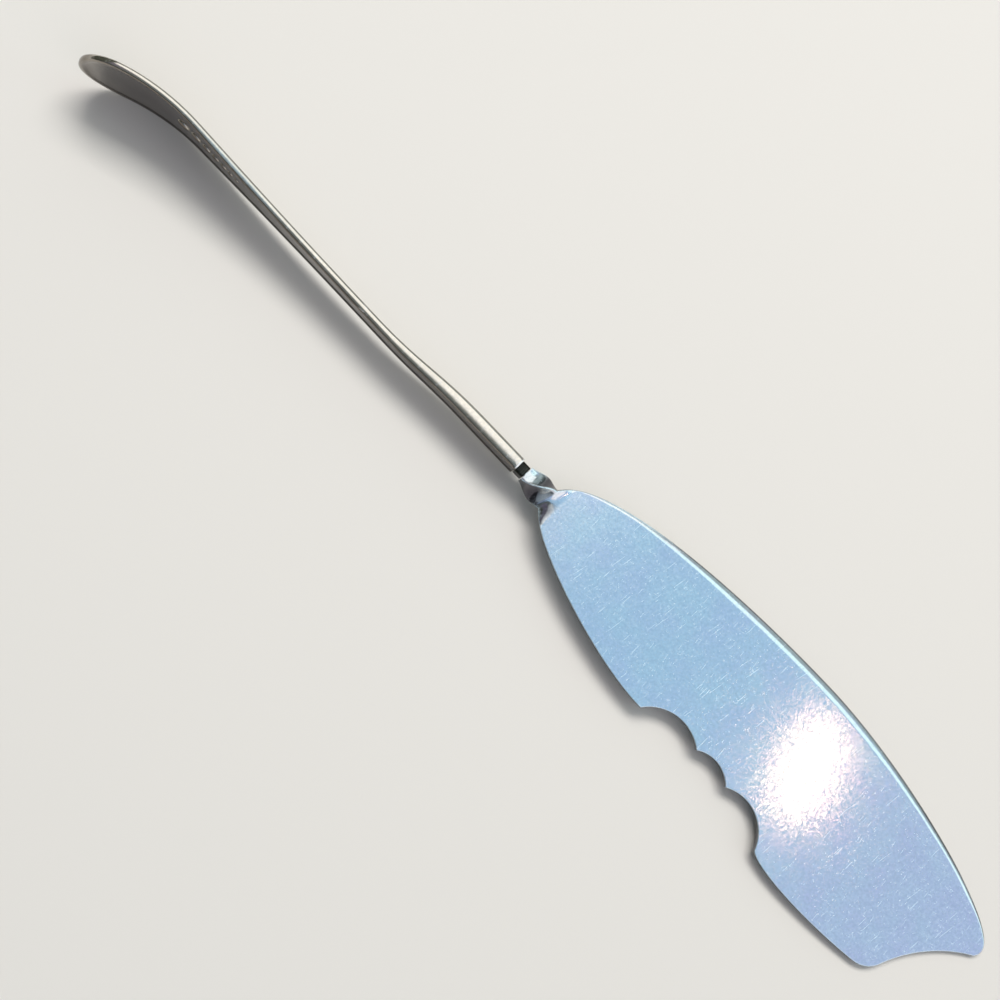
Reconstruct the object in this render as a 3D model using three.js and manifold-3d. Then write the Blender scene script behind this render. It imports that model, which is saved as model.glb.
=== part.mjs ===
// A master butter knife: a flat handle that stands on edge, a quarter-turn neck and a broad flat
// blade with three scallops in its belly. The handle's square end holds the blade's tang in a socket,
// and a collar of hard solder closes the joint. The knife lies as it does on a table, balanced on
// the handle's lower edge and the blade's end, with +X to the blade's tip and +Y to its spine.

import * as THREE from 'three';
import { mergeVertices } from 'three/addons/utils/BufferGeometryUtils.js';
import Module from 'manifold-3d';

const wasm = await Module();
wasm.setup();

// Handle, in millimetres, with its stations measured along the bend from the square neck end
const handleLength = 87.1;
const handleNeckWidth = 6.6;
const handleWaistWidth = 6.2;
const handleEndWidth = 15.4;
const handleWaistStation = 16;
const handleShoulderStation = 80.2;
const flareSharpness = 2.5;
const handleNeckThickness = 2.12;
const handleStemThickness = 1.42;
const handleTipThickness = 1.0;
const handleEdgeReach = 0.55;
const handleEdgeSquareness = 3;
const handleAside = 0.2;

// Thread, the raised line along the edge of the handle's front face
const threadLand = 0.35;
const threadSlope = 0.3;
const threadHeight = 0.14;

// Bend of the handle seen from above, in millimetres along it and degrees
const stemTilt = 4.7;
const stemReturn = 0.5;
const stemStation = 8;
const stemEndStation = 30;
const curlStation = 66.8;
const curlAngle = 32.2;

// Blade
const bladeLength = 94;
const spineRise = 11.3;
const bellyDrop = 15.5;
const rootWidth = 4.2;
const runOutLength = 3.6;
const bladeRootThickness = 1.5;
const bladeTipThickness = 1.0;
const edgeReach = 0.16;
const edgeDepth = 0.16;
const spineBevelReach = 1.05;
const spineBevelDepth = 0.48;
const endHollow = 1.3;

// Neck and tang
const neckLength = 5.0;
const neckThickness = 2.5;
const neckSwellThickness = 2.95;
const neckWidth = 3.3;
const neckSlimShare = 0.6;
const neckCorner = 0.22;
const turnStartEase = 1.7;
const turnEndEase = 2.6;
const tangLength = 7.6;
const tangWidth = 2.2;
const tangThickness = 0.8;
const tangCorner = 0.2;

// Solder collar in the waist between handle and neck
const collarLength = 1.45;
const collarThickness = 2.0;
const collarWidth = 3.4;
const collarCorner = 0.45;

// Clearances that stand for the film of solder between faces
const faceClearance = 0.1;
const tangClearance = 0.1;
const socketEndClearance = 0.4;

// How far a cut runs past a face, and how far the root laps the flat blade's inner end and sinks in it
const cutOverrun = 1;
const rootLap = 0.25;
const rootSink = 0.6;

// Blade outline in shares of its length from the root, and of the spine's rise or the belly's drop:
// controls of cubic curves, each ending on the outline
const spineRiseShares = [[0.045, 0.766], [0.292, 1], [0.527, 1]];
const spineFallShares = [[0.657, 1], [0.812, 0.745], [0.89, 0.537]];
const spineTipShares = [[0.957, 0.358], [1.019, 0.14]];
const tipEndShare = [0.995, 0.07];
const bellyCornerShares = [[0.893, 0.8], [0.882, 0.93], [0.856, 0.948]];
const lowerBellyShares = [[0.767, 1.014], [0.648, 1.01]];
const upperBellyShares = [[0.24, 0.756], [0.03, 0.39]];
const scallopCornerShares = [[0.623, 0.901], [0.52, 0.681], [0.446, 0.634], [0.3355, 0.739]];
// How far each scallop bows in, in shares of its own width
const scallopBowShares = [0.235, 0.188, 0.215];
// Stretches of the spine over which its bevel grows from the neck and fades at the tip
const bevelRiseShare = 0.4;
const bevelFallShare = 0.3;
const cuspShare = 0.6;

// Steps that the curves are drawn with
const outlineSteps = { spine: 40, tip: 12, end: 18, corner: 6, belly: 24, scallop: 16 };
const edgeSteps = 5;
const neckSteps = 20;
const runOutSteps = 14;
const cornerSteps = 4;
const handleStemSteps = 66;
const handleEndSteps = 18;
const handleEdgeSteps = 8;
const handleLineSteps = 400;

// Search for the rest pose, in radians
const restReach = 0.2;
const restAccuracy = 0.000005;

const silver = (color, roughness) => new THREE.MeshStandardMaterial({ color, roughness, metalness: 1 });
const smooth = (share) => THREE.MathUtils.smoothstep(share, 0, 1);
const mix = THREE.MathUtils.lerp;

// Solids

// Vertices that lie on each other become one, and triangles that this closes up are dropped.
function weld(geometry) {
  const bare = geometry.clone();
  bare.deleteAttribute('normal');
  bare.deleteAttribute('uv');
  const merged = mergeVertices(bare);
  const corners = merged.index.array;
  const kept = [];
  for (let i = 0; i < corners.length; i += 3) {
    const [a, b, c] = [corners[i], corners[i + 1], corners[i + 2]];
    if (a !== b && b !== c && c !== a) kept.push(a, b, c);
  }
  merged.setIndex(kept);
  return merged;
}

function toSolid(geometry) {
  const merged = weld(geometry);
  const mesh = new wasm.Mesh({
    numProp: 3,
    vertProperties: new Float32Array(merged.attributes.position.array),
    triVerts: new Uint32Array(merged.index.array),
  });
  return new wasm.Manifold(mesh);
}

function fromSolid(solid) {
  const { vertProperties, triVerts } = solid.getMesh();
  const geometry = new THREE.BufferGeometry();
  geometry.setAttribute('position', new THREE.BufferAttribute(new Float32Array(vertProperties), 3));
  geometry.setIndex([...triVerts]);
  geometry.computeVertexNormals();
  return geometry;
}

// A flat end over one loop, with its triangles turned the way the loop runs.
function coverLoop(loop, flatten) {
  const contour = loop.map(flatten);
  const turn = Math.sign(THREE.ShapeUtils.area(contour));
  return THREE.ShapeUtils.triangulateShape(contour, []).map(([a, b, c]) => {
    const triangleTurn = Math.sign(THREE.ShapeUtils.area([contour[a], contour[b], contour[c]]));
    return triangleTurn === turn ? [a, b, c] : [a, c, b];
  });
}

// A closed skin drawn through loops of equally many points. The first loop gets a flat cover, and
// so does the last one, unless it is folded flat and closes itself.
function skin(loops, flatten, coverLast = true) {
  const size = loops[0].length;
  const index = [];
  for (let row = 0; row + 1 < loops.length; row += 1) {
    for (let column = 0; column < size; column += 1) {
      const here = row * size + column;
      const beside = row * size + ((column + 1) % size);
      index.push(here, beside, beside + size, here, beside + size, here + size);
    }
  }
  for (const [a, b, c] of coverLoop(loops[0], flatten)) index.push(a, c, b);
  if (coverLast) {
    const lastRow = (loops.length - 1) * size;
    const cover = coverLoop(loops[loops.length - 1], flatten);
    for (const [a, b, c] of cover) index.push(lastRow + a, lastRow + b, lastRow + c);
  }
  const geometry = new THREE.BufferGeometry().setFromPoints(loops.flat());
  geometry.setIndex(index);
  return geometry;
}

// Loops may run either way round, so a skin that comes out inside out is turned.
function solidFromLoops(loops, flatten, coverLast) {
  const geometry = skin(loops, flatten, coverLast);
  const inwards = massOf(geometry).volume < 0;
  if (inwards) geometry.setIndex([...geometry.index.array].reverse());
  return toSolid(geometry);
}

// Volume and centre of mass of a closed mesh, from the tetrahedra that its faces make with the origin.
function massOf(geometry) {
  const place = geometry.attributes.position;
  const corners = geometry.index.array;
  const [a, b, c] = [new THREE.Vector3(), new THREE.Vector3(), new THREE.Vector3()];
  const moment = new THREE.Vector3();
  let volume = 0;
  for (let i = 0; i < corners.length; i += 3) {
    a.fromBufferAttribute(place, corners[i]);
    b.fromBufferAttribute(place, corners[i + 1]);
    c.fromBufferAttribute(place, corners[i + 2]);
    const corner = a.dot(new THREE.Vector3().crossVectors(b, c)) / 6;
    volume += corner;
    moment.addScaledVector(a.add(b).add(c), corner / 4);
  }
  return { volume, centre: moment.divideScalar(volume) };
}

// Section of a bar across X: a rectangle with round corners, slid along its own width and turned
// about X by an angle.
function barSection(x, y, width, thickness, corner, angle, slide = 0) {
  const loop = [];
  const reachY = thickness / 2 - corner;
  const reachZ = width / 2 - corner;
  for (let quarter = 0; quarter < 4; quarter += 1) {
    const start = (quarter * Math.PI) / 2;
    const centreY = quarter === 0 || quarter === 3 ? reachY : -reachY;
    const centreZ = slide + (quarter < 2 ? reachZ : -reachZ);
    for (let step = 0; step <= cornerSteps; step += 1) {
      const turn = start + (step / cornerSteps) * (Math.PI / 2);
      const point = new THREE.Vector3(0, centreY + corner * Math.cos(turn), centreZ + corner * Math.sin(turn));
      point.applyAxisAngle(new THREE.Vector3(1, 0, 0), -angle);
      loop.push(point.add(new THREE.Vector3(x, y, 0)));
    }
  }
  return loop;
}

const acrossX = (point) => new THREE.Vector2(point.y, point.z);
const acrossZ = (point) => new THREE.Vector2(point.x, point.y);

// Handle

// Half the handle's width at a station: slim from the neck, flaring late to the shoulder of the round
// end, and then an ellipse to the tip.
function handleHalfWidth(station) {
  if (station >= handleShoulderStation) {
    const share = (station - handleShoulderStation) / (handleLength - handleShoulderStation);
    return (handleEndWidth / 2) * Math.sqrt(Math.max(0, 1 - share * share));
  }
  if (station <= handleWaistStation) {
    return mix(handleNeckWidth, handleWaistWidth, smooth(station / handleWaistStation)) / 2;
  }
  const share = (station - handleWaistStation) / (handleShoulderStation - handleWaistStation);
  return mix(handleWaistWidth, handleEndWidth, smooth(share) ** flareSharpness) / 2;
}

const stemShare = (station) => (
  THREE.MathUtils.clamp((station - stemStation) / (stemEndStation - stemStation), 0, 1));

// Thick near the neck, thinner past the stem's bend, and then an even taper to the tip.
function handleThicknessAt(station) {
  const taper = mix(handleStemThickness, handleTipThickness, station / handleLength);
  return mix(handleNeckThickness, taper, smooth(stemShare(station)));
}

// Direction of the handle seen from above: the stem steps aside in a slight bend, comes back a
// little, and its end curls away on a round arc.
function handleHeading(station) {
  const share = stemShare(station);
  const step = stemTilt * Math.sin(Math.PI * share) ** 2 - stemReturn * share;
  const curl = curlAngle * Math.max(0, (station - curlStation) / (handleLength - curlStation));
  return THREE.MathUtils.degToRad(step + curl);
}

// Middle line of the handle, walked in short steps from the neck to the tip.
function handleLine() {
  const points = [new THREE.Vector2(0, handleAside)];
  const stride = handleLength / handleLineSteps;
  for (let step = 0; step < handleLineSteps; step += 1) {
    const heading = handleHeading((step + 1 / 2) * stride);
    const last = points[step];
    points.push(new THREE.Vector2(last.x - Math.cos(heading) * stride, last.y - Math.sin(heading) * stride));
  }
  return (station) => {
    const place = THREE.MathUtils.clamp(station / stride, 0, handleLineSteps);
    const before = Math.min(Math.floor(place), handleLineSteps - 1);
    return points[before].clone().lerp(points[before + 1], place - before);
  };
}

// Upper half of the handle's outline in its own flat plane, as stations and half widths.
function handleOutline() {
  const outline = [];
  for (let step = 0; step < handleStemSteps; step += 1) {
    const station = (step / handleStemSteps) * handleShoulderStation;
    outline.push(new THREE.Vector2(station, handleHalfWidth(station)));
  }
  const endReach = handleLength - handleShoulderStation;
  for (let step = 0; step <= handleEndSteps; step += 1) {
    const turn = (step / handleEndSteps) * (Math.PI / 2);
    const station = handleShoulderStation + endReach * Math.sin(turn);
    outline.push(new THREE.Vector2(station, (handleEndWidth / 2) * Math.cos(turn)));
  }
  return outline;
}

// Section profile of one edge, from the front face round the edge to the back face: a flat crown
// between round corners. Inset is the distance in from the outline, and lift the distance from the
// middle plane in half thicknesses, with the field inside the thread lowered by a real depth.
function handleEdgeProfile() {
  const profile = [
    { inset: handleEdgeReach + threadLand + threadSlope, lift: -1, sunk: threadHeight },
    { inset: handleEdgeReach + threadLand, lift: -1, sunk: 0 },
  ];
  const rounding = 2 / handleEdgeSquareness;
  for (let step = 0; step <= handleEdgeSteps; step += 1) {
    const turn = -Math.PI / 2 + (step / handleEdgeSteps) * Math.PI;
    const inset = handleEdgeReach * (1 - Math.abs(Math.cos(turn)) ** rounding);
    profile.push({ inset, lift: Math.sign(turn) * Math.abs(Math.sin(turn)) ** rounding, sunk: 0 });
  }
  return profile;
}

function makeHandle() {
  const outline = handleOutline();
  const profile = handleEdgeProfile();
  const lineAt = handleLine();
  const last = outline.length - 1;
  const place = (station, side, lift, sunk) => {
    const middle = lineAt(station);
    const heading = handleHeading(Math.min(station, handleLength));
    const offset = (lift * handleThicknessAt(station)) / 2 + sunk;
    const x = middle.x - Math.sin(heading) * offset;
    const y = middle.y + Math.cos(heading) * offset;
    return new THREE.Vector3(x, y, side);
  };
  const loops = outline.map((point, i) => {
    const before = outline[Math.max(i - 1, 0)];
    const after = outline[Math.min(i + 1, last)];
    const inwards = new THREE.Vector2(after.y - before.y, before.x - after.x).normalize();
    if (i === 0) inwards.set(0, -1);
    if (i === last) inwards.set(-1, 0);
    const half = profile.map(({ inset, lift, sunk }) => {
      const ring = point.clone().addScaledVector(inwards, inset);
      return { station: ring.x, side: ring.y, lift, sunk };
    });
    const upper = half.map(({ station, side, lift, sunk }) => place(station, side, lift, sunk));
    const lower = half.map(({ station, side, lift, sunk }) => place(station, -side, lift, sunk)).reverse();
    return [...upper, ...lower];
  });
  const bar = solidFromLoops(loops, acrossX, false);
  const socketWidth = tangWidth + 2 * tangClearance;
  const socketThickness = tangThickness + 2 * tangClearance;
  const socketLength = tangReach() + socketEndClearance;
  const socket = [-socketLength, cutOverrun].map((x) => (
    barSection(x, handleAside, socketWidth, socketThickness, tangCorner, 0)));
  return fromSolid(bar.subtract(solidFromLoops(socket, acrossX)));
}

// Solder collar and tang

// How far the tang goes into the handle.
const tangReach = () => tangLength - faceClearance;
const neckStart = collarLength + 2 * faceClearance;
const rootStart = neckStart + neckLength;
const runOutEnd = rootStart + runOutLength;

function makeCollar() {
  const ends = [faceClearance, faceClearance + collarLength];
  const outside = ends.map((x) => barSection(x, handleAside, collarWidth, collarThickness, collarCorner, 0));
  const boreWidth = tangWidth + 2 * tangClearance;
  const boreThickness = tangThickness + 2 * tangClearance;
  const bore = [-cutOverrun, neckStart + cutOverrun].map((x) => (
    barSection(x, handleAside, boreWidth, boreThickness, tangCorner, 0)));
  return fromSolid(solidFromLoops(outside, acrossX).subtract(solidFromLoops(bore, acrossX)));
}

// Blade

// Turn of the neck at a place along it: it sets in gently at the collar, is quickest in the neck's
// middle, and runs out smoothly where the blade becomes flat.
const turnAt = (x) => {
  const share = THREE.MathUtils.clamp((x - neckStart) / (runOutEnd - neckStart), 0, 1);
  return (Math.PI / 2) * (1 - (1 - share) ** turnEndEase) ** turnStartEase;
};

// Section of the blade's root across X, whose corners reach the blade's outline seen from above.
function rootSection(x, corner, sunk = 0) {
  const angle = turnAt(x);
  const half = bladeHalfThickness(x);
  const reachTo = (aside) => (Math.abs(aside) - half * Math.cos(angle)) / Math.sin(angle) - sunk;
  const spineReach = reachTo(asideAt(spineEdge, x));
  const bellyReach = reachTo(asideAt(bellyEdge, x));
  const slide = (spineReach - bellyReach) / 2;
  return barSection(x, 0, spineReach + bellyReach, 2 * (half - sunk), corner, angle, slide);
}

// The neck swells behind the collar and turns a quarter, and its turn runs out into the flat blade.
function neckSolid() {
  const loops = [
    barSection(-tangReach(), handleAside, tangWidth, tangThickness, tangCorner, 0),
    barSection(neckStart, handleAside, tangWidth, tangThickness, tangCorner, 0),
  ];
  const rootTurn = turnAt(rootStart);
  const widthAtRoot = (rootWidth - bladeRootThickness * Math.cos(rootTurn)) / Math.sin(rootTurn);
  for (let step = 0; step < neckSteps; step += 1) {
    const share = step / neckSteps;
    const x = neckStart + share * neckLength;
    const width = mix(neckWidth, widthAtRoot, share);
    const swell = mix(neckThickness, neckSwellThickness, smooth(share / neckSlimShare));
    const flattened = smooth((share - neckSlimShare) / (1 - neckSlimShare));
    const thickness = mix(swell, bladeRootThickness, flattened);
    loops.push(barSection(x, mix(handleAside, 0, share), width, thickness, neckCorner, turnAt(x)));
  }
  for (let step = 0; step <= runOutSteps; step += 1) {
    const share = step / runOutSteps;
    loops.push(rootSection(rootStart + share * runOutLength, mix(neckCorner, edgeReach, share)));
  }
  loops.push(rootSection(runOutEnd + rootLap, edgeReach));
  loops.push(rootSection(runOutEnd + rootSink, edgeReach, edgeDepth));
  return solidFromLoops(loops, acrossX);
}

// Points on a circular arc from one point to another that bows to the right of its way by a depth.
function arcPoints(from, to, bow, steps) {
  const chord = to.clone().sub(from);
  const half = chord.length() / 2;
  const radius = (half * half + bow * bow) / (2 * bow);
  const right = new THREE.Vector2(chord.y, -chord.x).normalize();
  const centre = from.clone().add(to).divideScalar(2).addScaledVector(right, bow - radius);
  const sweep = 2 * Math.asin(half / radius);
  return Array.from({ length: steps }, (_, step) => (
    from.clone().rotateAround(centre, (sweep * (step + 1)) / steps)));
}

const above = ([along, aside]) => new THREE.Vector2(rootStart + along * bladeLength, aside * spineRise);
const below = ([along, aside]) => new THREE.Vector2(rootStart + along * bladeLength, -aside * bellyDrop);
const curve = (from, controls, steps) => (
  new THREE.CubicBezierCurve(from, ...controls).getPoints(steps).slice(1));

// Spine of the blade from its root to the end's upper corner.
function spineCurve() {
  const shoulder = new THREE.Vector2(rootStart, rootWidth / 2);
  const rise = spineRiseShares.map(above);
  const fall = spineFallShares.map(above);
  const tip = [...spineTipShares.map(above), below(tipEndShare)];
  return [
    shoulder,
    ...curve(shoulder, rise, outlineSteps.spine),
    ...curve(rise[2], fall, outlineSteps.spine),
    ...curve(fall[2], tip, outlineSteps.tip),
  ];
}

// Hollow end and notched belly of the blade, from the end's upper corner back to the root.
function bellyCurve() {
  const heel = new THREE.Vector2(rootStart, -rootWidth / 2);
  const [cornerStart, corner, cornerEnd] = bellyCornerShares.map(below);
  const end = arcPoints(below(tipEndShare), cornerStart, endHollow, outlineSteps.end);
  const rounding = new THREE.QuadraticBezierCurve(cornerStart, corner, cornerEnd);
  const cusps = scallopCornerShares.map(below);
  const lower = curve(cornerEnd, [...lowerBellyShares.map(below), cusps[0]], outlineSteps.belly);
  const scallops = scallopBowShares.flatMap((share, i) => (
    arcPoints(cusps[i], cusps[i + 1], share * cusps[i].distanceTo(cusps[i + 1]), outlineSteps.scallop)));
  const upper = curve(cusps[3], [...upperBellyShares.map(below), heel], outlineSteps.belly);
  return [...end, ...rounding.getPoints(outlineSteps.corner).slice(1), ...lower, ...scallops, ...upper];
}

// Both edges from the root to the tip
const spineEdge = spineCurve();
const bellyEdge = bellyCurve().reverse();

// Where an edge lies at a place along the blade.
function asideAt(edge, x) {
  const i = Math.max(1, edge.findIndex((point) => point.x >= x));
  const share = (x - edge[i - 1].x) / (edge[i].x - edge[i - 1].x);
  return mix(edge[i - 1].y, edge[i].y, share);
}

// Outline of the flat blade from the spine, over the tip and back along the belly to its straight
// inner end. Each point carries how much of the spine's bevel it has: 1 in the middle of the spine
// and nothing along the end and the belly.
function bladeOutline() {
  const past = (point) => point.x > runOutEnd + edgeReach;
  const spineAside = asideAt(spineEdge, runOutEnd);
  const bellyAside = asideAt(bellyEdge, runOutEnd);
  const spine = [new THREE.Vector2(runOutEnd, spineAside), ...spineEdge.filter(past)];
  const plain = [
    ...bellyEdge.filter(past).reverse(),
    new THREE.Vector2(runOutEnd, bellyAside),
    new THREE.Vector2(runOutEnd, bellyAside + edgeReach),
    new THREE.Vector2(runOutEnd, spineAside - edgeReach),
  ];
  const bevelAt = (i) => smooth(i / (bevelRiseShare * spine.length))
    * smooth((spine.length - 1 - i) / (bevelFallShare * spine.length));
  const bevelled = spine.map((point, i) => ({ point, bevel: bevelAt(i) }));
  return [...bevelled, ...plain.map((point) => ({ point, bevel: 0 }))];
}

// Direction straight into the blade at each outline point, longer at a cusp so that the edge keeps
// its reach on both sides of it.
function inwardSteps(points) {
  const count = points.length;
  return points.map((point, i) => {
    const before = point.clone().sub(points[(i + count - 1) % count]).normalize();
    const after = points[(i + 1) % count].clone().sub(point).normalize();
    const inwards = new THREE.Vector2(before.y + after.y, -before.x - after.x).normalize();
    const squareIn = new THREE.Vector2(after.y, -after.x);
    return inwards.divideScalar(Math.max(inwards.dot(squareIn), cuspShare));
  });
}

const bladeHalfThickness = (x) => (
  mix(bladeRootThickness, bladeTipThickness, (x - rootStart) / bladeLength) / 2);

// A flat plate whose two faces taper evenly towards the tip and whose edges roll over, widely along
// the spine and narrowly elsewhere.
function plateSolid() {
  const outline = bladeOutline();
  const inwards = inwardSteps(outline.map(({ point }) => point));
  const ring = (turn, face) => outline.map(({ point, bevel }, i) => {
    const reach = mix(edgeReach, spineBevelReach, bevel);
    const depth = mix(edgeDepth, spineBevelDepth, bevel);
    const place = point.clone().addScaledVector(inwards[i], reach * (1 - Math.cos(turn)));
    const height = bladeHalfThickness(place.x) - depth * (1 - Math.sin(turn));
    return new THREE.Vector3(place.x, place.y, face * height);
  });
  const turns = Array.from({ length: edgeSteps + 1 }, (_, step) => ((step / edgeSteps) * Math.PI) / 2);
  const lowerRings = turns.map((turn) => ring(turn, -1)).reverse();
  return solidFromLoops([...lowerRings, ...turns.map((turn) => ring(turn, 1))], acrossZ);
}

const makeBlade = () => fromSolid(neckSolid().add(plateSolid()));

// Rest pose

// Bottom of a valley between two ends, by dropping its higher third again and again.
function lowestBetween(from, to, heightOf) {
  let [low, high] = [from, to];
  while (high - low > restAccuracy) {
    const third = (high - low) / 3;
    if (heightOf(low + third) < heightOf(high - third)) high -= third;
    else low += third;
  }
  return (low + high) / 2;
}

// Roll and pitch in which the knife's centre of mass lies lowest: it rocks to where the handle's
// lower edge and the blade's end touch the table.
function restingTurn(geometries) {
  const masses = geometries.map(massOf);
  const total = masses.reduce((sum, { volume }) => sum + volume, 0);
  const centre = masses.reduce((sum, { volume, centre: own }) => (
    sum.addScaledVector(own, volume / total)), new THREE.Vector3());
  const points = geometries.flatMap((geometry) => {
    const place = geometry.attributes.position;
    return Array.from({ length: place.count }, (_, i) => new THREE.Vector3().fromBufferAttribute(place, i));
  });
  const rockedBy = (roll, pitch) => new THREE.Euler(roll, pitch, 0, 'YXZ');
  const heightAt = (roll, pitch) => {
    const turnBack = new THREE.Matrix4().makeRotationFromEuler(rockedBy(roll, pitch)).invert();
    const up = new THREE.Vector3(0, 0, 1).applyMatrix4(turnBack);
    return centre.dot(up) - points.reduce((least, point) => Math.min(least, point.dot(up)), Infinity);
  };
  const pitchFor = (roll) => lowestBetween(-restReach, restReach, (pitch) => heightAt(roll, pitch));
  const restRoll = lowestBetween(-restReach, restReach, (roll) => heightAt(roll, pitchFor(roll)));
  return rockedBy(restRoll, pitchFor(restRoll));
}

// Knife

const pieces = [
  { name: 'handle', geometry: makeHandle(), material: silver(0xb9b5ac, 0.3) },
  { name: 'solder_seam', geometry: makeCollar(), material: silver(0x77746f, 0.5) },
  { name: 'blade', geometry: makeBlade(), material: silver(0xc3cad2, 0.28) },
];

const knife = new THREE.Group();
for (const { name, geometry, material } of pieces) {
  const mesh = new THREE.Mesh(geometry, material);
  mesh.name = name;
  knife.add(mesh);
}
knife.rotation.copy(restingTurn(pieces.map(({ geometry }) => geometry)));

const lyingKnife = new THREE.Group();
lyingKnife.add(knife);
const box = new THREE.Box3().setFromObject(lyingKnife, true);
const middle = box.getCenter(new THREE.Vector3());
knife.position.set(-middle.x, -middle.y, -box.min.z);

export default lyingKnife;
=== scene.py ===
# %% [markdown]
# # An old silver-plated butter knife
#
# The knife lies on a pale table: a flat handle that stands on edge, a short twisted neck, and a
# broad notched blade that lies nearly flat. The CAD frame already holds the true shape and place of
# its three pieces. This lesson takes a copy of each piece, refines its surface with mesh operators,
# and gives it the finish of silver plate that has been used, polished and scratched for decades.
# A mirror-like metal shows its surroundings, so half of the work is the light around it.

import math

import bmesh
import bpy
from mathutils import Matrix, Vector


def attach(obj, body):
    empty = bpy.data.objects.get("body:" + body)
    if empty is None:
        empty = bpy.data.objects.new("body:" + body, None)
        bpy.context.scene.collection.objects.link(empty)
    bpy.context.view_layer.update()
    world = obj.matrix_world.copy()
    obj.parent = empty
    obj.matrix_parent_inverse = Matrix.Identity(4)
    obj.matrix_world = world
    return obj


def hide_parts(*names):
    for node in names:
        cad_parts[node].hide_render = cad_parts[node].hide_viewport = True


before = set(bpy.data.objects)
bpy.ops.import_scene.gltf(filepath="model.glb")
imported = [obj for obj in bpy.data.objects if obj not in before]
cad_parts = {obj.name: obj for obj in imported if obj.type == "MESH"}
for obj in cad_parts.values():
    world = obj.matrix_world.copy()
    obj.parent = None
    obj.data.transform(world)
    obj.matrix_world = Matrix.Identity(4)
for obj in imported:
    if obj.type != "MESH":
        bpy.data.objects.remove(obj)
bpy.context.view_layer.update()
root = "root"
print("nodes in the frame:", sorted(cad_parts))

# %% [markdown]
# ## Units
#
# Blender's scene is in metres, and a knife is drawn in millimetres. One small function turns the
# second into the first, so every size below reads as it would on a caliper.

# %% Units


def mm(value):
    """Millimetres as metres."""
    return value / 1000


# %% [markdown]
# ## The camera
#
# The photograph was taken from about a forearm's length above the table, looking almost straight
# down, with the camera turned so that the knife lies across the picture's diagonal. Lens, height and
# turn were found by laying the model's outline over the knife's outline until the two agreed within
# about a pixel. The view is built from one tilt and one turn, so it can be read and changed by hand.

# %% Camera
camera_place = Vector((mm(-5.441), mm(-31.216), mm(240)))
camera_tilt = math.radians(6.8)
camera_turn = math.radians(46.054)
camera_lens = 58.025  # mm, on a sensor 36 mm wide
camera_data = bpy.data.cameras.new("camera")
camera_data.lens = camera_lens
camera_data.clip_start = mm(10)
camera_data.clip_end = 20
camera = bpy.data.objects.new("camera", camera_data)
bpy.context.collection.objects.link(camera)
camera.matrix_world = (
    Matrix.Translation(camera_place)
    @ Matrix.Rotation(camera_tilt, 4, "X")
    @ Matrix.Rotation(camera_turn, 4, "Z")
)
bpy.context.scene.camera = camera
bpy.context.scene.view_settings.view_transform = "Standard"
print("camera height in mm:", round(camera_place.z * 1000))

# %% [markdown]
# ## Nodes and colours
#
# A material here is a small tree of nodes. One function adds a node with its settings and its
# links, and another turns a colour as a screen shows it, such as #A9BFD6, into the linear values
# that the renderer works with. Nothing else is needed to write every finish below.

# %% Node and colour helpers


def srgb(code):
    """A hex colour as linear RGBA."""
    channels = [int(code[i : i + 2], 16) / 255 for i in (1, 3, 5)]
    linear = [c / 12.92 if c <= 0.04045 else ((c + 0.055) / 1.055) ** 2.4 for c in channels]
    return (*linear, 1)


def add_node(tree, kind, settings=None, **inputs):
    """Adds a node. Inputs are named with _ for a space, or as in_0 for a place; a socket is linked."""
    node = tree.nodes.new(kind)
    for name, value in (settings or {}).items():
        setattr(node, name, value)
    for name, value in inputs.items():
        if name.startswith("in_"):
            socket = node.inputs[int(name[3:])]
        else:
            socket = node.inputs[name.replace("_", " ")]
        if isinstance(value, bpy.types.NodeSocket):
            tree.links.new(value, socket)
        else:
            socket.default_value = value
    return node


def new_tree(name):
    """A new material and its empty node tree."""
    material = bpy.data.materials.new(name)
    material.use_nodes = True
    material.node_tree.nodes.clear()
    return material, material.node_tree


# %% [markdown]
# ## The table
#
# The knife lies on a plain pale table top, so the floor is one flat sheet just under it with a matt
# paint. It only has to take the shadow and to stay a quiet, even ground.

# %% Floor
floor_size = mm(6000)
floor_mesh = bpy.data.meshes.new("floor")
floor_bmesh = bmesh.new()
bmesh.ops.create_grid(floor_bmesh, x_segments=1, y_segments=1, size=floor_size / 2)
floor_bmesh.to_mesh(floor_mesh)
floor_bmesh.free()
floor = bpy.data.objects.new("floor", floor_mesh)
bpy.context.collection.objects.link(floor)
floor_paint, tree = new_tree("matt_table_paint")
shader = add_node(
    tree,
    "ShaderNodeBsdfPrincipled",
    Base_Color=srgb("#E6E2DC"),
    Roughness=0.8,
    Specular_IOR_Level=0.2,
)
add_node(tree, "ShaderNodeOutputMaterial", Surface=shader.outputs["BSDF"])
floor_mesh.materials.append(floor_paint)

# %% [markdown]
# ## The light
#
# A polished blade is a mirror that lies under the camera, so it shows a patch of the ceiling. The
# photograph's ceiling is lit by a cool pale-blue daylight, with a warm lamp in it that makes the
# burnt-out spot. The handle's narrow crown shows a white stretch of ceiling on the other side, and
# every rounded edge shows a strip of everything from one wall over the ceiling to the other. So the
# world is a soft room, written down by direction: pale at the horizon, grey on the window's wall and
# darker on the wall across from it, blue above the blade and white above the handle. Each patch of
# it is bounded by soft edges along X, Y or Z, from the value where it starts to where it is full.

# %% World
world = bpy.data.worlds.new("soft_room")
world.use_nodes = True
bpy.context.scene.world = world
tree = world.node_tree
tree.nodes.clear()
direction = add_node(tree, "ShaderNodeTexCoord").outputs["Generated"]
along = add_node(tree, "ShaderNodeSeparateXYZ", Vector=direction).outputs


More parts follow.
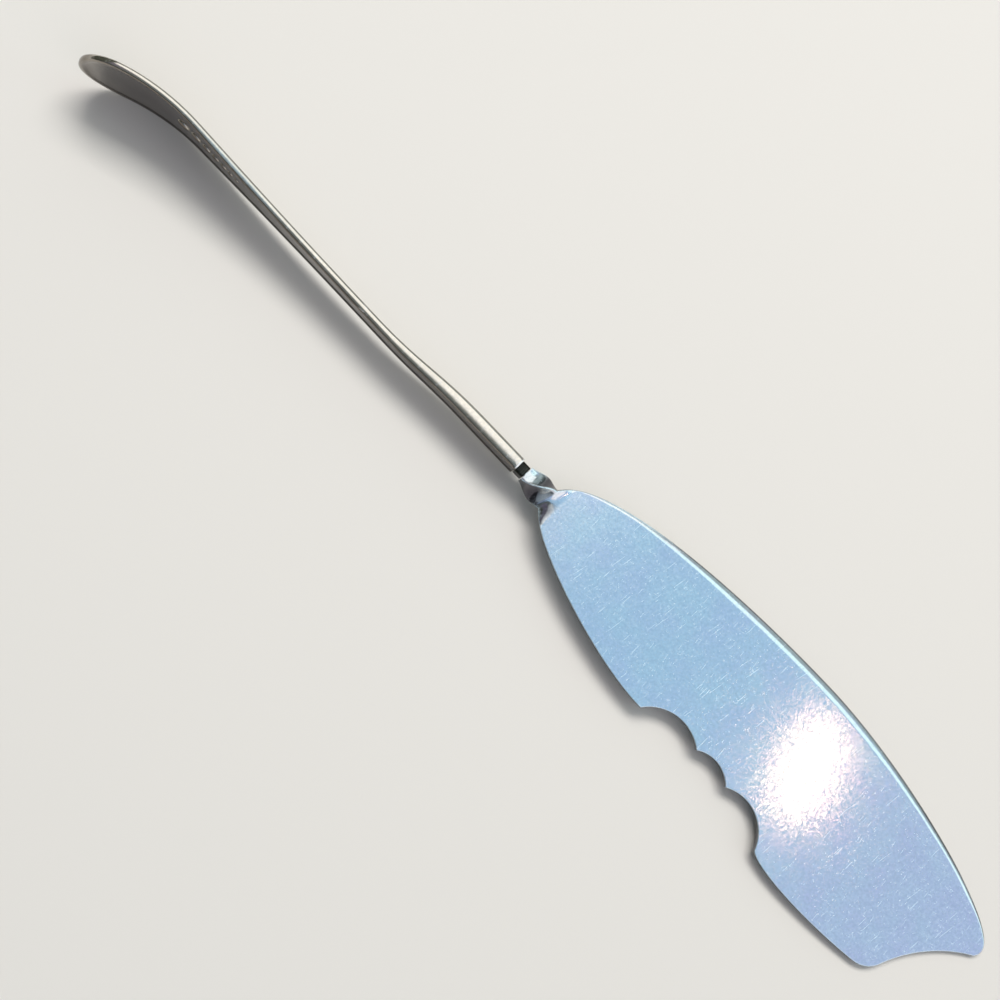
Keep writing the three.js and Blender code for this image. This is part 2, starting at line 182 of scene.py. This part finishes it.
def wall(colours):
    """A wall from the horizon up to the ceiling, as places and colours by the sine of the height."""
    ramp = add_node(tree, "ShaderNodeValToRGB", Fac=along["Z"]).color_ramp
    while len(ramp.elements) < len(colours):
        ramp.elements.new(0.5)
    for element, (place, colour) in zip(ramp.elements, colours):
        element.position = place
        element.color = srgb(colour)
    return tree.nodes[-1].outputs["Color"]


def between(value, low, high):
    """A smooth step from 0 at the first value to 1 at the second."""
    return add_node(
        tree, "ShaderNodeMapRange", {"interpolation_type": "SMOOTHSTEP"},
        Value=value, From_Min=low, From_Max=high,
    ).outputs["Result"]


def blend(share, first, second):
    """A mix of two colours."""
    return add_node(
        tree, "ShaderNodeMix", {"data_type": "RGBA"}, in_0=share, in_6=first, in_7=second
    ).outputs[2]


def patch(edges):
    """A soft-edged patch of the room: the product of smooth steps."""
    share = 1.0
    for axis, low, high in edges:
        share = add_node(
            tree, "ShaderNodeMath", {"operation": "MULTIPLY"},
            in_0=share, in_1=between(along[axis], low, high),
        ).outputs["Value"]
    return share


ceiling_blue = "#B1D2ED"
window_wall = wall(
    ((0.0, "#DAD9D6"), (0.05, "#D2D1CE"), (0.09, "#6C706F"), (0.28, "#7F8584"), (0.42, "#A9B1B0"),
     (0.80, "#A8B2B4"), (0.91, ceiling_blue))
)
far_wall = wall(
    ((0.0, "#DAD9D6"), (0.05, "#D2D1CE"), (0.09, "#626365"), (0.30, "#56575A"), (0.84, "#56585C"),
     (0.93, ceiling_blue))
)
room = blend(between(along["Y"], -0.25, 0.2), far_wall, window_wall)
high = ("Z", 0.6, 0.8)
above_handle = (("X", -0.60, -0.45), ("Y", 0.70, 0.58), ("Z", 0.0, 0.1))
white_panel = (1.30, 1.28, 1.25, 1)
pink_panel = (1.12, 1.04, 1.07, 1)
cyan_panel = (1.05, 1.28, 1.28, 1)
room_patches = (
    # The ceiling over the blade's end, over the handle, and the pale wall beyond the blade's end.
    (srgb("#BACCEA"), (("X", 0.26, 0.40), high)),
    (srgb("#6C716F"), (("X", 0.125, 0.10), high)),
    (srgb("#B9C2C8"), (("X", 0.42, 0.54), ("Y", -0.30, -0.42), ("Z", 0.05, 0.12), ("Z", 0.72, 0.60))),
    # The paler corner that the blade's root mirrors.
    (srgb("#C4DFF7"), (("X", 0.0, 0.08), ("X", 0.17, 0.12), ("Y", 0.08, 0.12), ("Y", 0.30, 0.20), high)),
    # The white stretch that the handle's crown mirrors, in two steps.
    (white_panel, (*above_handle, ("X", 0.10, 0.08), ("Y", -0.12, 0.14))),
    (white_panel, (*above_handle, ("X", 0.125, 0.105), ("Y", 0.15, 0.20))),
    # The shades that the neck and the handle's tip mirror.
    (srgb("#7E7886"), (("X", -0.06, -0.20), ("Y", 0.20, 0.08), ("Y", -0.5, -0.3))),
    (srgb("#50524A"), (("X", -0.42, -0.55),)),
    # The bright panels that draw the blade's rim, its root and the rolled spine.
    (pink_panel, (("X", 0.50, 0.60), ("Y", -0.32, -0.22), ("Y", 0.50, 0.40))),
    (pink_panel, (("X", 0.28, 0.38), ("Y", -0.30, -0.22), ("Y", 0.03, -0.03))),
    (cyan_panel, (("X", 0.10, 0.13), ("Y", 0.22, 0.27), ("Y", 0.54, 0.46), ("Z", 0.0, 0.1))),
)
for colour, edges in room_patches:
    room = blend(patch(edges), room, colour)
background = add_node(tree, "ShaderNodeBackground", Color=room, Strength=1.0)
add_node(tree, "ShaderNodeOutputWorld", Surface=background.outputs["Background"])
print("world nodes:", len(tree.nodes))

# %% [markdown]
# ## Lamps
#
# A wide window high on the spine's side throws the shadow to the belly's side, as in the photograph,
# and draws the bright line along the rolled spine. The spot's lamp hangs where the blade mirrors it
# to the camera from one chosen point of its face, so its place is worked out from that point.

# %% Lamps


def soft_lamp(name, place, target, width, depth, colour, radiance, shape="RECTANGLE"):
    """An area lamp of a given radiance: what a mirror shows of it is that bright."""
    data = bpy.data.lights.new(name, "AREA")
    data.shape = shape
    data.size = width
    data.size_y = depth
    data.color = srgb(colour)[:3]
    area = width * depth * (math.pi / 4 if shape == "ELLIPSE" else 1)
    data.energy = radiance * area * math.pi
    lamp = bpy.data.objects.new(name, data)
    bpy.context.collection.objects.link(lamp)
    lamp.location = place
    lamp.rotation_euler = (target - place).to_track_quat("-Z", "Y").to_euler()
    return lamp


knife_middle = Vector((0, 0, mm(5)))
window_place = Vector((mm(-150), mm(480), mm(870)))
window_width = mm(700)
window_depth = mm(300)
window_radiance = 10.5
window = soft_lamp(
    "window", window_place, knife_middle, window_width, window_depth, "#FFFDFA", window_radiance
)
window.visible_glossy = False
spot_near = Vector((mm(55.2), mm(2.4), mm(3)))
spot_distance = mm(900)
spot_length = mm(75)
spot_width = mm(9)
spot_radiance = 17.5
_, spot_place, spot_normal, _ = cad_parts["blade"].closest_point_on_mesh(spot_near)
to_camera = (camera_place - spot_place).normalized()
to_lamp = 2 * spot_normal.dot(to_camera) * spot_normal - to_camera
soft_lamp(
    "ceiling_lamp", spot_place + to_lamp * spot_distance, spot_place,
    spot_length, spot_width, "#FFC598", spot_radiance, "ELLIPSE",
)
print("spot mirrored along", [round(v, 3) for v in to_lamp])

# %% [markdown]
# ## A piece from its CAD node
#
# Each piece starts as a copy of its CAD node. The node's triangles are loose, so the copy's doubles
# are merged first. Faces are then shaded smooth, with the edges that are sharp on the real piece
# kept sharp.

# %% Copy of a node


def bmesh_of_node(name):
    """A merged copy of a CAD node's mesh."""
    piece = bmesh.new()
    piece.from_mesh(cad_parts[name].data)
    bmesh.ops.remove_doubles(piece, verts=piece.verts, dist=mm(0.002))
    bmesh.ops.recalc_face_normals(piece, faces=piece.faces)
    return piece


def finish_piece(piece, name, node, material, sharp_angle):
    """Turns a bmesh into an object that stands for a CAD node."""
    turn = piece.verts.layers.float.new("turn")
    for vert in piece.verts:
        edges = [edge for edge in vert.link_edges if vert.co.x > neck_to or span(edge) > same_section]
        vert[turn] = max((edge.calc_face_angle(0) for edge in edges), default=0)
    for face in piece.faces:
        face.smooth = True
    for edge in piece.edges:
        edge.smooth = len(edge.link_faces) == 2 and edge.calc_face_angle() < sharp_angle
    mesh = bpy.data.meshes.new(name)
    piece.to_mesh(mesh)
    piece.free()
    mesh.materials.append(material)
    made = bpy.data.objects.new(name, mesh)
    bpy.context.collection.objects.link(made)
    weighted = made.modifiers.new("weighted_normals", "WEIGHTED_NORMAL")
    weighted.keep_sharp = True
    weighted.weight = 100
    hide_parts(node)
    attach(made, root)
    print(name, len(mesh.polygons), "faces")
    return made


# %% [markdown]
# ## Silver plate
#
# Electroplated silver over nickel silver is a soft white metal. Decades of washing and polishing
# leave it covered in hairline scratches that catch the light in short white strokes, with small
# specks and a slightly uneven cast between them. A stroke is one cell of a stretched cell pattern,
# picked by chance. Its sizes are the real ones of such a scratch, only twice as wide, because a real
# hairline of 0.05 mm would vanish in the picture.

# %% Scratches


def in_plane(tree, coordinates, plane, turn, wander, seed):
    """Millimetres in the plane of a face, bent by a slow noise and turned, for strokes on it."""
    noise = add_node(tree, "ShaderNodeTexNoise", Vector=coordinates, Scale=1 / wander)
    bent = add_node(
        tree, "ShaderNodeVectorMath", {"operation": "MULTIPLY_ADD"},
        in_0=noise.outputs["Color"], in_1=(wander * 0.15,) * 3, in_2=coordinates,
    ).outputs["Vector"]
    axes = add_node(tree, "ShaderNodeSeparateXYZ", Vector=bent).outputs
    flat = add_node(
        tree, "ShaderNodeCombineXYZ", X=axes[plane[0]], Y=axes[plane[1]], Z=0.0
    ).outputs["Vector"]
    return add_node(
        tree, "ShaderNodeMapping", {"vector_type": "TEXTURE"},
        Vector=flat, Location=(seed, 2 * seed, 0), Rotation=(0, 0, turn),
    ).outputs["Vector"]


def strokes(tree, place, length, width, share, strength):
    """A mask of strokes of about this length and width, in so large a share of the cells."""
    reach = 0.34
    cell = add_node(
        tree, "ShaderNodeVectorMath", {"operation": "MULTIPLY"},
        in_0=place, in_1=(reach / length * 2, reach / width * 2, 1),
    ).outputs["Vector"]
    cells = add_node(
        tree, "ShaderNodeTexVoronoi", {"feature": "F1", "voronoi_dimensions": "2D"},
        Vector=cell, Scale=1.0, Randomness=0.8,
    ).outputs
    near = add_node(
        tree, "ShaderNodeMapRange", {"interpolation_type": "SMOOTHSTEP"},
        Value=cells["Distance"], From_Min=reach, From_Max=reach * 0.4,
    ).outputs["Result"]
    chance = add_node(tree, "ShaderNodeSeparateColor", Color=cells["Color"]).outputs
    chosen = add_node(
        tree, "ShaderNodeMapRange",
        Value=chance["Red"], From_Min=share, From_Max=0.0, To_Min=0.0, To_Max=1.0,
    ).outputs["Result"]
    mostly_faint = add_node(
        tree, "ShaderNodeMath", {"operation": "POWER"}, in_0=chosen, in_1=2.0
    ).outputs["Value"]
    drawn = add_node(
        tree, "ShaderNodeMath", {"operation": "MULTIPLY"}, in_0=near, in_1=mostly_faint
    ).outputs["Value"]
    return add_node(
        tree, "ShaderNodeMath", {"operation": "MULTIPLY"}, in_0=drawn, in_1=strength
    ).outputs["Value"]


# %% [markdown]
# ## The finish
#
# Each plated surface mixes three casts of silver in soft patches and a finer mottle. Strokes are
# rougher and whiter than the polished plate between them, so they light up where the plate mirrors
# something dark. A grain of small facets, each leaning its own way, breaks the rim of the lamp's
# mirror image into sparks. The real grain is far finer than 0.24 mm and wouldn't show in the
# picture, so it is drawn as coarse as it needs to show. A darkening is painted on the mesh as an
# attribute, a little unevenly: painted shade and painted dark reflection where the real plate mirrors
# dark surroundings, partly tarnish. A second attribute paints a highlight on proud edges, partly
# polish wear, which whitens them like the strokes.

# %% Plated silver


patch_size = 5.0  # mm
mottle_size = 0.4  # mm
mottle_share = 0.6
grain_size = 0.24  # mm
grain_tilt = 0.013  # radians, from one side to the other
worn_roughness = 0.28
worn_mirror_share = 0.5
least_shade_and_tarnish = 0.92


def plated_silver(name, plane, casts, glint, shade_and_tarnish, roughness, worn):
    """Worn silver plate in three casts, with painted shade partly tarnish, painted edge highlights,
    hairline scratches, specks and a grain.
    """
    material, tree = new_tree(name)
    place = add_node(tree, "ShaderNodeTexCoord").outputs["Object"]
    in_mm = add_node(
        tree, "ShaderNodeVectorMath", {"operation": "SCALE"}, in_0=place, Scale=1000
    ).outputs["Vector"]
    patches = add_node(
        tree, "ShaderNodeTexNoise", Vector=in_mm, Scale=1 / patch_size, Detail=3.0
    ).outputs["Fac"]
    clearer = add_node(
        tree, "ShaderNodeMapRange", Value=patches, From_Min=0.35, From_Max=0.65
    ).outputs["Result"]
    colour = add_node(
        tree, "ShaderNodeMix", {"data_type": "RGBA"},
        in_0=clearer, in_6=srgb(casts[0]), in_7=srgb(casts[1]),
    ).outputs[2]
    mottle = add_node(
        tree, "ShaderNodeTexNoise", Vector=in_mm, Scale=1 / mottle_size, Detail=1.0
    ).outputs["Fac"]
    cloudy = add_node(
        tree, "ShaderNodeMapRange",
        Value=mottle, From_Min=0.3, From_Max=0.7, To_Min=0.0, To_Max=mottle_share,
    ).outputs["Result"]
    colour = add_node(
        tree, "ShaderNodeMix", {"data_type": "RGBA"},
        in_0=cloudy, in_6=colour, in_7=srgb(casts[2]),
    ).outputs[2]
    marks = None
    for turn, length, width, share, strength, wander, seed in worn:
        turned = in_plane(tree, in_mm, plane, math.radians(turn), wander, seed)
        layer = strokes(tree, turned, length, width, share, strength)
        if marks is None:
            marks = layer
        else:
            marks = add_node(
                tree, "ShaderNodeMath", {"operation": "ADD", "use_clamp": True},
                in_0=marks, in_1=layer,
            ).outputs["Value"]
    # Painted highlight on proud edges, partly polish wear: it whitens and roughens them like a stroke.
    wear_and_highlight = add_node(
        tree, "ShaderNodeAttribute", {"attribute_name": "wear_and_highlight"}
    ).outputs["Fac"]
    marks = add_node(
        tree, "ShaderNodeMath", {"operation": "ADD", "use_clamp": True}, in_0=marks, in_1=wear_and_highlight
    ).outputs["Value"]
    colour = add_node(
        tree, "ShaderNodeMix", {"data_type": "RGBA"},
        in_0=marks, in_6=colour, in_7=srgb(glint),
    ).outputs[2]
    # Painted shade and painted dark reflection, partly tarnish: a mesh attribute mixes in the dark
    # colour.
    shade_and_tarnish_amount = add_node(
        tree, "ShaderNodeAttribute", {"attribute_name": "shade_and_tarnish"}
    ).outputs["Fac"]
    uneven_darkening = add_node(
        tree, "ShaderNodeMapRange",
        Value=patches, From_Min=0.38, From_Max=0.62, To_Min=least_shade_and_tarnish, To_Max=1.0,
    ).outputs["Result"]
    dark = add_node(
        tree, "ShaderNodeMath", {"operation": "MULTIPLY"}, in_0=shade_and_tarnish_amount, in_1=uneven_darkening
    ).outputs["Value"]
    colour = add_node(
        tree, "ShaderNodeMix", {"data_type": "RGBA"},
        in_0=dark, in_6=colour, in_7=srgb(shade_and_tarnish),
    ).outputs[2]
    rough = add_node(
        tree, "ShaderNodeMapRange",
        Value=marks, From_Min=0.0, From_Max=1.0, To_Min=roughness, To_Max=worn_roughness,
    ).outputs["Result"]
    mirror_share = add_node(
        tree, "ShaderNodeMapRange",
        Value=marks, From_Min=0.0, From_Max=1.0, To_Min=1.0, To_Max=worn_mirror_share,
    ).outputs["Result"]
    grains = add_node(
        tree, "ShaderNodeTexVoronoi", {"feature": "F1"},
        Vector=in_mm, Scale=1 / grain_size, Randomness=1.0,
    ).outputs["Color"]
    leaning = add_node(
        tree, "ShaderNodeVectorMath", {"operation": "SUBTRACT"}, in_0=grains, in_1=(0.5, 0.5, 0.5)
    ).outputs["Vector"]
    smooth = add_node(tree, "ShaderNodeNewGeometry").outputs["Normal"]
    uneven = add_node(
        tree, "ShaderNodeVectorMath", {"operation": "MULTIPLY_ADD"},
        in_0=leaning, in_1=(grain_tilt,) * 3, in_2=smooth,
    ).outputs["Vector"]
    faceted = add_node(
        tree, "ShaderNodeVectorMath", {"operation": "NORMALIZE"}, in_0=uneven
    ).outputs["Vector"]
    shader = add_node(
        tree, "ShaderNodeBsdfPrincipled",
        Base_Color=colour, Metallic=mirror_share, Roughness=rough, Normal=faceted,
    )
    add_node(tree, "ShaderNodeOutputMaterial", Surface=shader.outputs["BSDF"])
    return material


# Each row of strokes: turn in degrees, length and width in mm, share of the cells, strength, how
# slowly it wanders in mm, and a seed.
blade_strokes = (
    (83, 4.2, 0.10, 0.10, 0.8, 22, 35.3),
    (86, 2.6, 0.11, 0.08, 1.1, 14, 3.1),
    (97, 1.8, 0.11, 0.12, 0.7, 14, 7.7),
    (76, 0.9, 0.12, 0.6, 0.42, 12, 11.3),
    (104, 0.7, 0.12, 0.6, 0.40, 12, 14.9),
    (20, 1.2, 0.11, 0.06, 0.6, 12, 17.9),
    (142, 1.2, 0.11, 0.12, 0.5, 12, 23.3),
    (60, 0.4, 0.14, 0.6, 0.36, 9, 26.9),
    (0, 0.24, 0.2, 0.24, 0.8, 5, 29.1),
)
handle_strokes = (
    (5, 2.2, 0.11, 0.10, 0.7, 9, 3.7),
    (62, 1.2, 0.10, 0.14, 0.5, 9, 9.1),
    (118, 1.0, 0.10, 0.12, 0.5, 9, 13.3),
    (0, 0.22, 0.18, 0.2, 0.5, 4, 19.7),
)
# The colour after the glint is the dark of the painted shade, partly tarnish.
blade_plate = plated_silver(
    "worn_silver_plate_blade", "XY", ("#E3EFF1", "#E4E7F1", "#CDD7DE"), "#DCF4FF", "#38333C", 0.095,
    blade_strokes,
)
# Its dark colour is a painted warm dark reflection, partly tarnish.
handle_plate = plated_silver(
    "worn_silver_plate_handle", "XZ", ("#EAE5DB", "#DEDAD1", "#D6D2C9"), "#FFFFFF", "#54473A", 0.16,
    handle_strokes,
)
solder = plated_silver(
    "tarnished_hard_solder", "XZ", ("#3C3E39", "#2B2D29", "#242622"), "#8A8C86", "#2E2F2B", 0.35,
    handle_strokes,
)

# %% [markdown]
# ## Painted shade and highlight on the mesh
#
# A small function writes how dark and how white each vertex is painted. It is given the vertex's
# place, its normal and how sharply the mesh turns there, and it is called for every vertex of a
# finished piece. The dark is painted shade and painted dark reflection, partly tarnish; edges that
# stand proud get a painted highlight, partly polish wear.

# %% Painted shade and highlight


def paint(piece, name, amount_at):
    """Writes an attribute, from a function of a vertex's place in mm, its normal and its turn."""
    mesh = piece.data
    mesh.attributes.new(name, "FLOAT", "POINT")
    turns = mesh.attributes["turn"].data
    for vertex, turn, value in zip(mesh.vertices, turns, mesh.attributes[name].data):
        amount = amount_at(vertex.co * 1000, vertex.normal, turn.value)
        value.value = max(0.0, min(1.0, amount))


def step(value, low, high):
    """A smooth step from 0 at the first value to 1 at the second."""
    share = max(0.0, min(1.0, (value - low) / (high - low)))
    return share * share * (3 - 2 * share)


def blade_wear_and_highlight(place, normal, turn):
    """Painted highlight, partly polish wear: the neck's ridge and the roll's narrow start are whitened,
    and the rim a little.
    """
    # Painted highlight on proud edges, partly polish wear.
    on_edge = step(turn, 0.12, 0.3) * step(normal.z, 0.45, 0.75) * step(normal.z, 0.97, 0.93)
    if normal.y > 0:
        return on_edge * step(place.x, 20, 12)
    return on_edge * (0.8 + 0.2 * step(place.x, 1, -1))


def blade_shade_and_tarnish(place, normal, turn):
    """Painted shade, partly tarnish: the walls and the outer roll are darkened, as are the neck's low and
    far sides and the low side of the root.
    """
    # Painted shade: the walls and the neck's sides get the dark that the real plate mirrors there.
    wall_share = step(abs(normal.z), 0.92, 0.8)
    neck_share = step(place.x, 1.0, -2.0)
    low_side = step(normal.y, -0.1, -0.75)
    high_end = step(place.x, -3.9, -2.6) * step(normal.y, -0.1, 0.3)
    in_neck = 0.1 + 0.9 * max(low_side, high_end)
    low_root = 0.7 * step(place.x, 1.6, 0.8) * step(place.y, 3.0, 1.0)
    on_plate = max(0.95 * wall_share, low_root)
    shade_and_tarnish = on_plate * (1 - neck_share) + neck_share * in_neck
    return shade_and_tarnish * (1 - 0.9 * blade_wear_and_highlight(place, normal, turn))


def handle_wear_and_highlight(place, normal, turn):
    """Painted highlight, partly polish wear, on the rim of the square end where it looks up."""
    # Painted highlight on the rim, partly polish wear.
    return step(place.dot(knife_axis), -7.67, -7.60) * step(normal.z, 0.2, 0.5)


def handle_shade_and_tarnish(place, normal, turn):
    """Painted dark reflection, partly tarnish: the broad faces and the round end are darkened and warm,
    most in front; the crown is left as it is.
    """
    # Painted dark reflection of a shaded table, partly tarnish, on the broad faces and the round end.
    front = step(normal.y, -0.25, -0.9) * (0.95 - 0.25 * step(place.x, -82, -92))
    back = step(normal.y, 0.25, 0.7)
    round_end = 0.8 * step(place.x, -89.5, -91.5)
    return max(front, 0.55 * back, round_end)


# %% [markdown]
# ## The twisted neck
#
# The CAD neck is a row of sections with one flat strip from corner to corner, and a flat strip can't
# follow a twist. So the strips' diagonals are dissolved and the strips are cut across their width.
# What they then follow is the ruled surface of a twisted bar, which shades smoothly.

# The real blade is flat almost from its root on, so the last of the twist is let out over a shorter
# way than in the CAD solid. The outline seen from above stays as it is.

# %% Neck
root_from = -0.9
root_flat = 1.3
root_to = 2.95
root_middle = 1.97
root_slopes = (
    (-0.85, 0.327), (-0.6, 0.275), (-0.34, 0.226), (-0.08, 0.184), (0.18, 0.146), (0.44, 0.115),
    (0.70, 0.087), (0.96, 0.064), (1.22, 0.045), (1.48, 0.031), (1.74, 0.019), (2.0, 0.011),
    (2.26, 0.005), (2.5, 0.002), (2.95, 0.0),
)
rest_pitch = math.radians(2.303)
knife_axis = Vector((math.cos(rest_pitch), 0, -math.sin(rest_pitch)))
neck_from = mm(-5.9)
neck_to = mm(2.4)
shortest_strip = mm(0.6)
longest_section = mm(0.5)
same_section = mm(0.03)
cuts_across = 8
top_thickness = mm(0.35)


def along_table(table, x):
    """A value between the two nearest rows of a table of places and values."""
    for (x0, value0), (x1, value1) in zip(table, table[1:]):
        if x <= x1:
            share = max(0.0, (x - x0) / (x1 - x0))
            return value0 + (value1 - value0) * share
    return table[-1][1]


def span(edge):
    """How far an edge reaches along the knife."""
    ends = [vert.co.dot(knife_axis) for vert in edge.verts]
    return abs(ends[0] - ends[1])


def flat_top(piece):
    """The largest face that looks up."""
    piece.normal_update()
    upward = [face for face in piece.faces if face.normal.z > 0.99]
    return max(upward, key=lambda face: face.calc_area())


def refine_neck(piece):
    """Cuts the neck's strips across their width, from section to section."""

    def in_neck(edge):
        return all(neck_from < vert.co.x < neck_to for vert in edge.verts)

    wide = [edge for edge in piece.edges if in_neck(edge) and edge.calc_length() > shortest_strip]
    diagonals = [edge for edge in wide if same_section < span(edge) < longest_section]
    bmesh.ops.dissolve_edges(piece, edges=diagonals, use_verts=False)
    wide = [edge for edge in piece.edges if in_neck(edge) and edge.calc_length() > shortest_strip]
    across = [edge for edge in wide if span(edge) < same_section]
    bmesh.ops.subdivide_edges(piece, edges=across, cuts=cuts_across, use_grid_fill=True)
    print("neck: diagonals", len(diagonals), "strips", len(across), "faces", len(piece.faces))


def flatten_root(piece):
    """Lets the twist run out sooner, so that the blade is flat right from its root."""
    up = flat_top(piece).normal.copy()
    level = flat_top(piece).verts[0].co.dot(up)
    moved = 0
    for vert in piece.verts:
        x, y = vert.co.x * 1000, vert.co.y * 1000
        height = vert.co.dot(up) - level
        if root_from < x < root_to:
            twisted = mm(along_table(root_slopes, x) * (y - root_middle))
            if height > twisted - top_thickness:
                vert.co -= up * twisted * step(x, root_from, root_flat)
                moved += 1
    print("root: flattened vertices", moved)


# %% [markdown]
# ## The rolled spine
#
# The blade's spine was rolled over wider than the CAD solid has it: about 1.5 mm in the middle, less
# towards both ends. Each point of the roll is moved further in from the outline, in proportion, and
# its drop below the flat face is kept in scale. The outline itself stays where it is.

# %% Spine
roll_reaches = (
    (2.5, 0.28), (6, 0.50), (11, 0.62), (20, 1.15), (30, 1.45), (56, 1.45), (70, 1.15), (78, 0.87),
    (86, 0.75), (91, 0.30),
)
roll_fall = 0.32
roll_from = mm(2.3)
roll_to = mm(92)
widest_cad_roll = mm(1.1)
deepest_cad_roll = mm(0.5)
plane_play = mm(0.003)


def nearest_on_line(line, point):
    """The point of an open line that is nearest to a point."""
    best = None
    for start, end in zip(line, line[1:]):
        side = end - start
        share = max(0.0, min(1.0, (point - start).dot(side) / side.length_squared))
        near = start + side * share
        if best is None or (near - point).length < (best - point).length:
            best = near
    return best


def widen_spine_roll(piece):
    """Moves the spine's roll further in from the outline."""
    up = flat_top(piece).normal.copy()
    level = flat_top(piece).verts[0].co.dot(up)
    same_plane = [
        face for face in piece.faces
        if all(
            abs(vert.co.dot(up) - level) < plane_play and vert.co.x > mm(root_flat) for vert in face.verts
        )
    ]
    bmesh.ops.dissolve_faces(piece, faces=same_plane, use_verts=False)
    outer = set()
    for face in piece.faces:
        middle = face.calc_center_median()
        if abs(face.normal.dot(up)) < 0.25 and face.normal.y > 0.3 and roll_from < middle.x < roll_to:
            outer.update(vert for vert in face.verts if (vert.co - middle).dot(up) > 0)
    line = sorted((vert.co.copy() for vert in outer), key=lambda co: co.x)
    rolled = []
    for vert in piece.verts:
        drop = level - vert.co.dot(up)
        in_roll = roll_from < vert.co.x < roll_to and -mm(0.02) < drop < deepest_cad_roll
        if in_roll and vert.co.y > 0:
            near = nearest_on_line(line, vert.co)
            inward = vert.co - near
            inward -= up * inward.dot(up)
            if inward.length < widest_cad_roll:
                rolled.append((vert, near, inward, drop))
    creases = sorted(
        (near.x * 1000, inward.length) for _, near, inward, drop in rolled if drop < mm(0.004)
    )
    depths = [(co.x * 1000, level - co.dot(up)) for co in line]
    for vert, near, inward, drop in rolled:
        reach = along_table(creases, near.x * 1000)
        depth = along_table(depths, near.x * 1000)
        wanted = mm(along_table(roll_reaches, near.x * 1000))
        if wanted > reach:
            vert.co += inward * (wanted / reach - 1)
            vert.co -= up * drop * (max(depth, wanted * roll_fall) / depth - 1)
    print("spine: line", len(line), "rolled", len(rolled), "creases", len(creases))


# %% Blade
blade_mesh = bmesh_of_node("blade")
refine_neck(blade_mesh)
flatten_root(blade_mesh)
widen_spine_roll(blade_mesh)
blade = finish_piece(blade_mesh, "plated_blade", "blade", blade_plate, math.radians(36))
# Painted highlight and painted shade go onto the blade as attributes.
paint(blade, "wear_and_highlight", blade_wear_and_highlight)
paint(blade, "shade_and_tarnish", blade_shade_and_tarnish)

# %% [markdown]
# ## The handle's square end
#
# The handle ends in a square cut above the neck. Its rim is broken by a small rounding, and the
# rim carries a painted highlight, partly polish wear. Where the handle broadens, the photograph shows
# small bosses on its near face, too steep to be read one by one. They are built as a plain drop of
# beads that grow smaller towards the neck, a pattern that flatware has had for two centuries.

# %% Handle
end_rounding = mm(0.18)
rim_width = mm(0.26)
rest_height = mm(4.22)
first_bead = -78.0
bead_radii = (1.25, 1.08, 0.93, 0.8, 0.69, 0.6, 0.52)
bead_gap = 0.18
bead_flatness = 0.32


def round_square_end(piece):
    """Rounds the outer rim of the handle's square end."""
    end = max(vert.co.dot(knife_axis) for vert in piece.verts)
    on_end = {vert for vert in piece.verts if end - vert.co.dot(knife_axis) < mm(0.005)}
    middle = sum((vert.co for vert in on_end), Vector()) / len(on_end)
    rim = []
    for edge in piece.edges:
        if on_end.issuperset(edge.verts) and edge.calc_face_angle(0) > math.radians(60):
            side = next(face for face in edge.link_faces if abs(face.normal.dot(knife_axis)) < 0.5)
            if (edge.verts[0].co - middle).dot(side.normal) > 0:
                rim.append(edge)
    bmesh.ops.bevel(
        piece, geom=rim, offset=end_rounding, segments=3, profile=0.5, affect="EDGES", material=-1
    )
    bmesh.ops.bisect_plane(
        piece, geom=piece.verts[:] + piece.edges[:] + piece.faces[:], dist=mm(0.001),
        plane_co=knife_axis * (end - rim_width), plane_no=knife_axis,
    )
    print("handle: rim edges", len(rim))


def add_beads(piece):
    """Sets a drop of flat beads on the near broad face, each with its foot sunk in the face."""
    handle_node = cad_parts["handle"]
    flat = Matrix.Diagonal((1, 1, bead_flatness, 1))
    x = first_bead
    for radius in bead_radii:
        x += radius
        height = rest_height - math.tan(rest_pitch) * mm(x)
        in_front = Vector((mm(x), mm(-12), height))
        _, foot, normal, _ = handle_node.ray_cast(in_front, Vector((0, 1, 0)))
        turned = normal.to_track_quat("Z", "Y").to_matrix().to_4x4()
        bmesh.ops.create_icosphere(
            piece, subdivisions=3, radius=mm(radius),
            matrix=Matrix.Translation(foot) @ turned @ flat,
        )
        x += radius + bead_gap
    print("handle: beads", len(bead_radii))


handle_mesh = bmesh_of_node("handle")
handle_mesh.normal_update()
round_square_end(handle_mesh)
add_beads(handle_mesh)
handle = finish_piece(handle_mesh, "plated_handle", "handle", handle_plate, math.radians(42))
# Painted highlight and painted shade go onto the handle as attributes.
paint(handle, "wear_and_highlight", handle_wear_and_highlight)
paint(handle, "shade_and_tarnish", handle_shade_and_tarnish)

# %% Solder seam
seam = finish_piece(
    bmesh_of_node("solder_seam"), "solder_fillet", "solder_seam", solder, math.radians(40)
)
